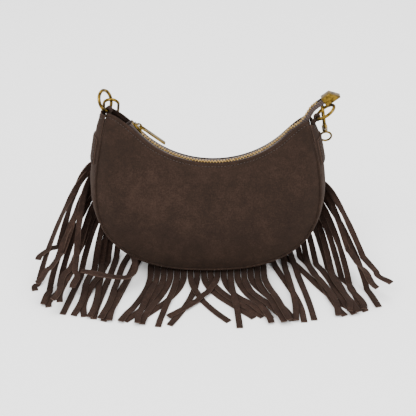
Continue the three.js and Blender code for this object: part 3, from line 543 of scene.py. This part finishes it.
def painted_board(name, colour):
    """Painted board under the bag: smooth, matt and white, with a very faint grain."""
    material, tree = start_material(name)
    place = add(tree, "ShaderNodeTexCoord", (-700, 0)).outputs["Object"]
    grain = add(tree, "ShaderNodeTexNoise", (-450, 0), {"Vector": place}, in_Scale=900.0)
    bump = add(tree, "ShaderNodeBump", (-150, -150), {"Height": grain.outputs["Fac"]},
               in_Strength=0.05, in_Distance=0.1 * MM)
    shader = add(tree, "ShaderNodeBsdfPrincipled", (300, 0), {"Normal": bump.outputs["Normal"]},
                 in_Roughness=0.7, in_Base_Color=colour)
    finish_material(tree, shader)
    return material


# Suede body

# Each crease goes from one (x, z) to another and has a width and a height.
FRONT_CREASES = (
    ((-112, 108), (-74, 134), 5.5, -1.5),
    ((-96, 92), (-60, 112), 8.0, 0.9),
    ((104, 112), (76, 134), 6.0, -1.1),
    ((-30, 96), (36, 90), 9.0, -0.7),
    ((20, 60), (72, 86), 9.0, 0.8),
)
BACK_CREASES = (
    ((-100, 110), (-60, 128), 7.0, -1.2),
    ((98, 104), (58, 126), 7.0, -1.0),
    ((-40, 60), (30, 72), 10.0, -0.8),
)


def soft_folds(x, z, side, depth):
    """How far the filled suede stands off its plain curve, in mm: slack, dents and creases."""
    slack = 1.1 * noise.noise(Vector((x / 46, side * 3.0, z / 38)))
    slack += 0.45 * noise.noise(Vector((x / 17 + 9, side * 5.0, z / 15)))
    for (ax, az), (bx, bz), width, height in FRONT_CREASES if side < 0 else BACK_CREASES:
        along = Vector((bx - ax, bz - az))
        t = clamp(((x - ax) * along.x + (z - az) * along.y) / along.length_squared, 0, 1)
        away = math.hypot(x - ax - along.x * t, z - az - along.y * t)
        fade = math.sin(math.pi * (0.12 + 0.76 * t))
        slack += height * math.exp(-(away / width) ** 2) * fade
    return slack * depth


def make_panel(name, side, lift, belly, settings, materials):
    edge = top_edge(lift)

    def place(u, v):
        v = v ** 1.15
        point = panel_point(edge, side, belly, u, v)
        normal = panel_normal(edge, side, belly, u, v)
        from_top = (point - panel_point(edge, side, belly, u, 0)).length
        calm = smoothstep(v, 0.03, 0.22) * smoothstep(1 - v, 0.0, 0.1)
        calm *= smoothstep(min(u, 1 - u), 0.0, 0.06)
        offset = soft_folds(point.x, point.z, side, calm * settings.fold_depth)
        # The turned hem stands up a little and its stitches draw the suede in.
        offset += HEM_RISE * math.exp(-((from_top - HEM_MIDDLE) / 1.3) ** 2)
        offset -= HEM_DRAW * math.exp(-((from_top - HEM_STITCH) / 0.8) ** 2)
        return point + normal * offset

    bm = bmesh.new()
    grid_sheet(bm, 150, 84, place)
    bmesh.ops.recalc_face_normals(bm, faces=bm.faces)
    face_outward(bm, bm.faces[:], lambda p: Vector((0, side, 0)))
    obj = solid(make_object(name, bm, materials), SUEDE)
    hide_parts(name)
    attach(obj, "bag")


def gusset_sheet(name, shares, widths, lift, thickness, steps, materials, wave=0.0):
    """A strip that follows the gusset between two shares of its length and of its width."""

    def place(u, v):
        share = mix(*shares, u)
        w = mix(*widths, v)
        point = gusset_point(share, w, lift)
        slack = wave * noise.noise(Vector((share * 30, w * 1.6, 2.0))) * math.sin(math.pi * w)
        return point + seam_outward(share) * slack

    bm = bmesh.new()
    grid_sheet(bm, *steps, place)
    bmesh.ops.recalc_face_normals(bm, faces=bm.faces)
    face_outward(bm, bm.faces[:], lambda p: Vector((p.x, 0, p.z - SEAM_MID_Z)))
    obj = solid(make_object(name, bm, materials), thickness, rim=1 if len(materials) > 1 else 0)
    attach(obj, "bag")
    return obj


def share_at_height(z, is_left):
    """How far along the seam it first comes down to a height, from the left or the right corner."""
    for s in spread(0, 0.5, 400):
        share = s if is_left else 1 - s
        if SEAM.at(share)[1] <= z:
            return share
    raise RuntimeError("the seam never comes down to that height")


# Fringe

def blend_point(points, t):
    """A point of the cubic Bezier curve with these four control points."""
    a, b, c, d = points
    u = 1 - t
    return a * u ** 3 + b * (3 * u * u * t) + c * (3 * u * t * t) + d * t ** 3


def strip_line(index):
    """The way a strip goes: out of the seam, down to the surface, and along it to its end."""
    share = 0.5 + index * STRIP_PITCH / SEAM.total
    out = seam_outward(share)
    root = gusset_point(share, (1 + BAND_INNER_EDGE) / 2, SUEDE + 3 * GAP + BAND_THICK / 2)
    half = STRIP_THICK / 2
    rise = root.z - half
    end = Vector(STRIP_ENDS[index + STRIPS_LEFT] + (0,))
    sway = RUN_SWAY * math.sin(index * 2.4)
    # A low root drops nearly straight, and a high one slants over toward the strip's end.
    slope = smoothstep(rise, 12, 90)
    landing = Vector((root.x + out.x * 0.3 * rise, root.y - 5 - 0.14 * rise, 0))
    landing = landing.lerp(end, LANDING_PULL * slope)
    landing += slope * Vector((5 * math.sin(index * 1.9), 4 * math.sin(index * 2.7), 0))
    is_under = abs(root.x) < UNDER_BAG_HALF
    turn = Vector((root.x, STRAIGHT_TO_Y, 0)) if is_under else landing
    to_end = end - turn
    first = Vector((0, -1, 0)) if is_under else to_end.normalized()
    across = Vector((-to_end.y, to_end.x, 0)).normalized()
    before = landing - first * (3 + 0.2 * rise)
    before.z = half + 0.35 * max(rise - 4, 0)
    down = Vector((landing.x, landing.y, half))
    fall = [root, root + out * (2 + FALL_BULGE * rise), before, down]
    reach = to_end.length / 3
    run = [
        turn,
        turn + first * reach + across * (0 if is_under else sway),
        end - to_end * 0.33 - across * sway,
        end,
    ]
    if index == CROSSING_STRIP:
        corner = Vector(CROSSING_TURN + (0,))
        run[1] = corner
        run[2] = corner + Vector((-6, -9, 0))
    line = [blend_point(fall, t) for t in spread(0, 1, FALL_STEPS)]
    for t in spread(0, 1, RUN_STEPS):
        point = blend_point(run, t)
        point.z = half
        line.append(point)
    line.append(line[-1] + (line[-1] - line[-3]).normalized() * STRIP_LENGTH)
    return out, line


def evenly(line, step):
    """Points one step apart along a line, for as long as a strip is."""
    points = [line[0].copy()]
    carried = 0.0
    for a, b in zip(line, line[1:]):
        if len(points) * step > STRIP_LENGTH:
            break
        length = (b - a).length
        while carried + length >= step * len(points) and len(points) * step <= STRIP_LENGTH:
            points.append(a.lerp(b, (step * len(points) - carried) / length))
        carried += length
    return points


def cell_at(x, y):
    return math.floor(x / LAY_CELL), math.floor(y / LAY_CELL)


def footprint(points, i):
    """The cells of the laying grid that lie under a strip at one of its points."""
    ahead = points[min(i + 1, len(points) - 1)]
    behind = points[max(i - 1, 0)]
    dx, dy = behind.y - ahead.y, ahead.x - behind.x
    length = math.hypot(dx, dy) or 1.0
    p = points[i]
    return [cell_at(p.x + dx / length * d, p.y + dy / length * d)
            for d in spread(-LAY_HALF_WIDTH, LAY_HALF_WIDTH, 5)]


def lay_over(points, layer):
    """Raises a strip over what lies under it, with no step steeper than the suede can follow."""
    step = (points[1] - points[0]).length
    cells = [footprint(points, i) for i in range(len(points))]
    rest = []
    for point, found in zip(points, cells):
        under = max([layer.get(c, 0.0) for c in found] + [0.0])
        rest.append(under + LAY_GAP + STRIP_THICK / 2 if under > 0 and point.z < under + 6 else 0.0)
    held = [(j, h) for j, h in enumerate(rest) if h > 0]
    for i, point in enumerate(points):
        lifted = max([h - LAY_SLOPE * step * max(0, abs(i - j) - 1) for j, h in held] + [0.0])
        point.z = max(point.z, lifted)
    for point, found in zip(points, cells):
        if point.z < 30:
            for c in found:
                layer[c] = max(layer.get(c, 0.0), point.z + STRIP_THICK / 2)
    return points


def add_strip(bm, index, layer, settings):
    """One strip, as a sheet down its middle that the Thickness modifier makes solid."""
    out, line = strip_line(index)
    points = lay_over(evenly(line, LAY_CELL), layer)
    seamward = Vector((-out.z, 0, out.x))
    last = len(points) - 1
    root_z = points[0].z

    def place(u, v):
        i = int(round(u * last))
        along = (points[min(i + 1, last)] - points[max(i - 1, 0)]).normalized()
        level = Vector((0, 0, 1)).cross(along)
        level = level.normalized() if level.length > 1e-6 else Vector((1, 0, 0))
        turned = smoothstep(i * LAY_CELL, 0, 8 + 0.5 * root_z)
        across = seamward * (1 - turned) + level * turned
        across = (across - along * across.dot(along)).normalized()
        up = along.cross(across)
        hang = smoothstep(points[i].z, 5, 30)
        roll = hang * settings.curl * noise.noise(Vector((index * 3.1, i * LAY_CELL / 26, 0)))
        across = across * math.cos(roll) + up * math.sin(roll)
        up = along.cross(across).normalized()
        wide = STRIP_WIDTH * (1 + 0.07 * noise.noise(Vector((index * 1.7, i * LAY_CELL / 30, 4))))
        d = (v - 0.5) * (wide - 0.1)
        cup = 0.35 * hang * ((2 * v - 1) ** 2 - 0.4)
        return points[i] + across * d + up * cup

    grid_sheet(bm, settings.strip_rings, 4, place)


def build_fringe(name, settings, materials):
    bm = bmesh.new()
    layer = {}
    order = [i for i in sorted(range(-STRIPS_LEFT, STRIPS_RIGHT + 1), key=lambda i: (abs(i), i))
             if i != CROSSING_STRIP]
    for index in order + [CROSSING_STRIP]:
        add_strip(bm, index, layer, settings)
    obj = solid(make_object(name, bm, materials), STRIP_THICK, offset=0.0, rim=1)
    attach(obj, "bag")
    return obj


# Zip and metal

def one_tooth():
    """A zip tooth in millimetres: a clamp over the tape's edge, a neck and a rounded head."""
    bm = bmesh.new()
    shape = bmesh.ops.create_cube(bm, size=1.0)["verts"]
    bmesh.ops.scale(bm, vec=(1.2, 3.9, 2.3), verts=shape)
    bmesh.ops.translate(bm, vec=(0, 1.0, 0), verts=shape)
    for y in (0.2, 1.1):
        whole = bm.verts[:] + bm.edges[:] + bm.faces[:]
        bmesh.ops.bisect_plane(bm, geom=whole, plane_co=(0, y, 0), plane_no=(0, 1, 0))
    for v in bm.verts:
        if abs(v.co.y - 0.2) < 0.01:
            v.co.x *= 0.72
            v.co.z *= 0.8
        elif v.co.y < 0:
            v.co.z *= 0.84
    bmesh.ops.bevel(bm, geom=bm.edges[:], offset=0.16, offset_type="OFFSET", segments=1, profile=0.5,
                    affect="EDGES", material=-1)
    mesh = bpy.data.meshes.new("tooth")
    bm.to_mesh(mesh)
    bm.free()
    return mesh


def zip_row(name, side, tooth, materials):
    bm = bmesh.new()
    first = CHAIN_START + (0 if side < 0 else TOOTH_PITCH / 2)
    count = int((CHAIN_END - first - TOOTH_WIDTH) / TOOTH_PITCH)
    for i in range(count):
        s = first + i * TOOTH_PITCH + TOOTH_WIDTH / 2
        before = len(bm.verts)
        bm.from_mesh(tooth)
        bm.verts.ensure_lookup_table()
        for v in bm.verts[before:]:
            v.co = ZIP_PLACE(s + v.co.x, side * v.co.y, v.co.z)
    bmesh.ops.recalc_face_normals(bm, faces=bm.faces)
    obj = make_object(name, bm, materials, smooth=False)
    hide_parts(name)
    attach(obj, "bag")


def zip_tape(name, side, materials):
    """Out from under the teeth, then down inside the panel."""

    def place(u, v):
        s = (ZIP_TOTAL + CLAMP_REACH - 0.2) * u
        close = smoothstep(s, ZIP_ARC - 18, ZIP_ARC + 4)
        outer = mix(TAPE_REACH, TAIL_REACH, close) - TAPE_HALF
        drop = mix(TAPE_DROP, TAIL_DROP, close)
        across = outer - BEAD_OUTER + 0.2
        d = v * (across + drop)
        if d < across:
            return ZIP_PLACE(s, side * (BEAD_OUTER - 0.2 + d), 0)
        return ZIP_PLACE(s, side * outer, across - d)

    bm = bmesh.new()
    grid_sheet(bm, 150, 14, place)
    bmesh.ops.recalc_face_normals(bm, faces=bm.faces)
    face_outward(bm, bm.faces[:], lambda p: Vector((0, side * 0.3, 1)))
    obj = solid(make_object(name, bm, materials), 2 * TAPE_HALF, offset=0.0)
    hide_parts(name)
    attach(obj, "bag")


def polished(name, body, materials, bevel=0.28):
    """A metal CAD solid with its edges eased by polishing."""
    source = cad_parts[name]
    bm = bmesh.new()
    bm.from_mesh(source.data)
    bmesh.ops.scale(bm, vec=(1 / MM, 1 / MM, 1 / MM), verts=bm.verts)
    bmesh.ops.remove_doubles(bm, verts=bm.verts, dist=0.004)
    bmesh.ops.dissolve_limit(bm, angle_limit=math.radians(1.5), verts=bm.verts, edges=bm.edges)
    sharp = [e for e in bm.edges if len(e.link_faces) == 2 and e.calc_face_angle() > math.radians(48)]
    bmesh.ops.bevel(bm, geom=sharp, offset=bevel, offset_type="OFFSET", segments=2, profile=0.5,
                    affect="EDGES", material=-1, clamp_overlap=True)
    bmesh.ops.remove_doubles(bm, verts=bm.verts, dist=0.002)
    obj = make_object(name + "_metal", bm, materials)
    obj.data.set_sharp_from_angle(angle=math.radians(42))
    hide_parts(name)
    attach(obj, body)


# The add-on

def colour_setting(name, description, code):
    return bpy.props.FloatVectorProperty(name=name, description=description, subtype="COLOR",
                                         size=4, min=0, max=1, default=srgb(code))


class BagSettings(bpy.types.PropertyGroup):
    suede_dark: colour_setting("Suede dark", "Where the nap lies away", "#120d0a")
    suede_middle: colour_setting("Suede", "The suede's main colour", "#251a14")
    suede_light: colour_setting("Suede light", "Where the nap is brushed up", "#3b2b23")
    cut_edge: colour_setting("Cut edge", "Raw edge of a fringe strip", "#58443b")
    brass_light: colour_setting("Brass", "Polished antique brass", "#7c6328")
    brass_dark: colour_setting("Tarnish", "Darker patches on the brass", "#2b200b")
    teeth: colour_setting("Teeth", "Colour of the zip teeth", "#c2a166")
    fold_depth: bpy.props.FloatProperty(
        name="Folds", description="How slack the suede is", default=1.0, min=0, max=1.6, subtype="FACTOR")
    curl: bpy.props.FloatProperty(
        name="Curl", description="How far hanging strips roll", default=math.radians(38), subtype="ANGLE")
    strip_rings: bpy.props.IntProperty(
        name="Strip steps", description="Steps along each strip", default=64, min=16, max=100)
    camera_distance: bpy.props.FloatProperty(
        name="Camera distance", description="From the bag's middle", default=1.25, unit="LENGTH")
    camera_height: bpy.props.FloatProperty(
        name="Camera angle", description="Above the level", default=math.radians(30), subtype="ANGLE")
    camera_lens: bpy.props.FloatProperty(
        name="Lens", description="Focal length in millimetres", default=101.0, unit="CAMERA")


def settings_of(context):
    return context.scene.fringed_bag


def material_of(name, make, *details, **more):
    """One material for all of the pieces that share it."""
    return bpy.data.materials.get(name) or make(name, *details, **more)


def suede_of(context):
    s = settings_of(context)
    return material_of("napped_split_suede", napped_suede, s.suede_dark, s.suede_middle, s.suede_light)


def strip_suede():
    return material_of("strip_suede", napped_suede, srgb("#0e0907"), srgb("#241813"), srgb("#402e26"),
                       mottle_mm=16.0, sheen=0.08)


def edge_of(context):
    s = settings_of(context)
    return material_of("cut_suede_edge", napped_suede, srgb("#231a16"), srgb("#3d2f28"), s.cut_edge,
                       mottle_mm=7.0, nap_mm=0.7, sheen=0.15)


def brass_of(context):
    s = settings_of(context)
    return material_of("antique_brass_plate", cast_brass, s.brass_light, s.brass_dark, 0.26, 5.0)


def teeth_of(context):
    s = settings_of(context)
    return material_of("stamped_zip_brass", cast_brass, s.teeth, srgb("#8e6c34"), 0.3, 3.0)


def thread():
    return material_of("bonded_nylon_thread", bonded_thread, srgb("#17100d"), srgb("#2e221c"))


def zip_cloth():
    return material_of("herringbone_zip_tape", woven_tape, srgb("#1d1512"), srgb("#42312a"))


class BAG_OT_body(bpy.types.Operator):
    """Both suede panels and the gusset between them"""

    bl_idname = "bag.body"
    bl_label = "Suede body"

    def execute(self, context):
        s = settings_of(context)
        suede = suede_of(context)
        edge = edge_of(context)
        make_panel("front_panel", -1, FRONT_EDGE_RAISE, FRONT_BELLY, s, [suede])
        make_panel("back_panel", 1, BACK_EDGE_RAISE, BACK_BELLY, s, [suede])
        gusset = gusset_sheet("gusset_suede", (0, 1), (0, 1), SUEDE + GAP, SUEDE, (190, 26),
                              [suede, edge], wave=0.8)
        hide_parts("gusset")
        for name, is_left in (("left", True), ("right", False)):
            top = share_at_height(PATCH_TOP_Z, is_left)
            bottom = share_at_height(PATCH_TOP_Z - PATCH_HEIGHT, is_left)
            low, high = (top, bottom) if is_left else (bottom, top)
            patch = gusset_sheet(f"{name}_patch_suede", (low, high), PATCH_SPAN, 2 * (SUEDE + GAP),
                                 SUEDE, (24, 22), [suede, edge], wave=0.3)
            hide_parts(f"{name}_gusset_patch")
        return {"FINISHED"}


class BAG_OT_seams(bpy.types.Operator):
    """The turned seams round both panels, and every row of stitches"""

    bl_idname = "bag.seams"
    bl_label = "Seams and stitches"

    def execute(self, context):
        # The back one stops short of the hook that hangs behind the left corner.
        for name, side, start in (("front_seam", -1, 0.002), ("back_seam", 1, 0.03)):
            bm = bmesh.new()
            points = []
            for share in spread(start, 0.998, 190):
                stand = mix(-0.7, 0.9, smoothstep(min(share, 1 - share), 0.03, 0.08))
                away = seam_outward(share) * stand + Vector((0, side * 0.3, 0))
                points.append(seam_point(share, side) + away)
            tube(bm, points, SEAM_BEAD)
            obj = make_object(name, bm, [suede_of(context)])
            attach(obj, "bag")

        bm = bmesh.new()
        for side, lift, belly in ((-1, FRONT_EDGE_RAISE, FRONT_BELLY), (1, BACK_EDGE_RAISE, BACK_BELLY)):
            edge = top_edge(lift)
            found = []
            for u in spread(0.012, 0.988, 260):
                tenth = panel_point(edge, side, belly, u, 0.1) - panel_point(edge, side, belly, u, 0)
                v = 0.1 * HEM_STITCH / tenth.length
                normal = panel_normal(edge, side, belly, u, v)
                found.append(panel_point(edge, side, belly, u, v) - normal * 0.25)
            stitch_line(bm, found, Vector((0, side, 0.25)))
        for is_left in (True, False):
            top = share_at_height(PATCH_TOP_Z - PATCH_STITCH, is_left)
            bottom = share_at_height(PATCH_TOP_Z - PATCH_HEIGHT + PATCH_STITCH, is_left)
            face = 2 * (SUEDE + GAP) + 0.1
            out = Vector((-1 if is_left else 1, 0, 0))
            for share in (top, bottom):
                found = [gusset_point(share, w, face) for w in spread(0.12, 0.88, 40)]
                stitch_line(bm, found, out)
            for w in (0.11, 0.89):
                found = [gusset_point(share, w, face) for share in spread(top, bottom, 30)]
                stitch_line(bm, found, out)
            end = 0.009 if is_left else 0.991
            found = [gusset_point(end, w, SUEDE + GAP + 0.1) for w in spread(0.08, 0.92, 40)]
            stitch_line(bm, found, out)
        obj = make_object("stitches", bm, [thread()])
        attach(obj, "bag")
        return {"FINISHED"}


class BAG_OT_fringe(bpy.types.Operator):
    """The band in the rear seam and its long cut strips"""

    bl_idname = "bag.fringe"
    bl_label = "Fringe"

    def execute(self, context):
        s = settings_of(context)
        materials = [strip_suede(), edge_of(context)]
        strips = build_fringe("fringe_strips", s, materials)
        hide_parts("fringe")
        reach = [(count * STRIP_PITCH + STRIP_WIDTH / 2) / SEAM.total
                 for count in (STRIPS_LEFT, STRIPS_RIGHT)]
        gusset_sheet("fringe_band", (0.5 - reach[0], 0.5 + reach[1]), (BAND_INNER_EDGE, 1),
                     SUEDE + 3 * GAP + BAND_THICK, BAND_THICK, (240, 4), materials)
        return {"FINISHED"}


class BAG_OT_zip(bpy.types.Operator):
    """Tapes, teeth, stops, slider, pull and end clamp"""

    bl_idname = "bag.zip"
    bl_label = "Zip"

    def execute(self, context):
        tooth = one_tooth()
        for name, side in (("front", -1), ("back", 1)):
            zip_row(f"zip_teeth_{name}", side, tooth, [teeth_of(context)])
            zip_tape(f"zip_tape_{name}", side, [zip_cloth()])
            polished(f"zip_top_stop_{name}", "bag", [brass_of(context)], bevel=0.2)
        polished("zip_slider", "slider", [brass_of(context)], bevel=0.16)
        polished("zip_pull", "pull", [brass_of(context)], bevel=0.3)
        polished("zip_end_clamp", "bag", [brass_of(context)], bevel=0.35)
        return {"FINISHED"}


class BAG_OT_hardware(bpy.types.Operator):
    """Rings, suede tabs and snap hooks at both corners"""

    bl_idname = "bag.hardware"
    bl_label = "Rings and hooks"

    def execute(self, context):
        brass = [brass_of(context)]
        for name in ("left", "right"):
            polished(f"{name}_ring", f"{name}_ring", brass)
            polished(f"{name}_hook_body", f"{name}_hook", brass, bevel=0.22)
            polished(f"{name}_gate_pin", f"{name}_hook", brass, bevel=0.12)
            polished(f"{name}_hook_gate", f"{name}_gate", brass, bevel=0.25)
            polished(f"{name}_hook_eye", f"{name}_eye", brass, bevel=0.15)
            polished(f"{name}_ring_tab", "bag", [suede_of(context)], bevel=0.4)
        return {"FINISHED"}


class BAG_OT_stage(bpy.types.Operator):
    """Pale floor, soft studio lights and the camera"""

    bl_idname = "bag.stage"
    bl_label = "Stage"

    def execute(self, context):
        s = settings_of(context)
        bm = bmesh.new()
        under = Matrix.Translation((0, 0, -0.3))
        bmesh.ops.create_grid(bm, x_segments=1, y_segments=1, size=6000, matrix=under)
        floor = make_object("floor", bm, [painted_board("matt_white_board", srgb("#ffffff"))])

        world = bpy.data.worlds.new("studio")
        world.use_nodes = True
        back = world.node_tree.nodes["Background"]
        back.inputs["Color"].default_value = srgb("#ffffff")
        back.inputs["Strength"].default_value = 1.5
        context.scene.world = world

        for name, place, aim, size, power in (
            ("key_softbox", (-0.9, -1.3, 1.7), (0, 0, 0.06), 1.2, 36),
            ("fill_softbox", (1.3, -1.0, 1.1), (0, 0, 0.08), 1.2, 16),
            ("top_softbox", (0.1, 0.5, 1.8), (0, 0, 0.06), 1.4, 30),
        ):
            light = bpy.data.lights.new(name, "AREA")
            light.size = size
            light.energy = power
            lamp = bpy.data.objects.new(name, light)
            lamp.location = place
            lamp.rotation_euler = (Vector(aim) - Vector(place)).to_track_quat("-Z", "Y").to_euler()
            context.scene.collection.objects.link(lamp)

        lens = bpy.data.cameras.new("camera")
        lens.lens = s.camera_lens
        lens.sensor_width = 36
        camera = bpy.data.objects.new("camera", lens)
        aim = Vector((0, 0, 0.067))
        away = Vector((0, -math.cos(s.camera_height), math.sin(s.camera_height)))
        camera.location = aim + s.camera_distance * away
        camera.rotation_euler = (aim - camera.location).to_track_quat("-Z", "Y").to_euler()
        context.scene.collection.objects.link(camera)
        context.scene.camera = camera
        return {"FINISHED"}


class BAG_PT_sidebar(bpy.types.Panel):
    bl_label = "Fringed suede bag"
    bl_idname = "BAG_PT_sidebar"
    bl_space_type = "VIEW_3D"
    bl_region_type = "UI"
    bl_category = "Bag"

    def draw(self, context):
        s = settings_of(context)
        for name in BagSettings.__annotations__:
            self.layout.prop(s, name)
        for operator in OPERATORS:
            self.layout.operator(operator.bl_idname)


OPERATORS = (BAG_OT_body, BAG_OT_seams, BAG_OT_fringe, BAG_OT_zip, BAG_OT_hardware, BAG_OT_stage)
CLASSES = (BagSettings,) + OPERATORS + (BAG_PT_sidebar,)


def register():
    for each in CLASSES:
        bpy.utils.register_class(each)
    bpy.types.Scene.fringed_bag = bpy.props.PointerProperty(type=BagSettings)


def unregister():
    del bpy.types.Scene.fringed_bag
    for each in reversed(CLASSES):
        bpy.utils.unregister_class(each)


def main():
    register()
    bpy.ops.bag.body()
    bpy.ops.bag.seams()
    bpy.ops.bag.fringe()
    bpy.ops.bag.zip()
    bpy.ops.bag.hardware()
    bpy.ops.bag.stage()


if __name__ == "__main__":
    main()
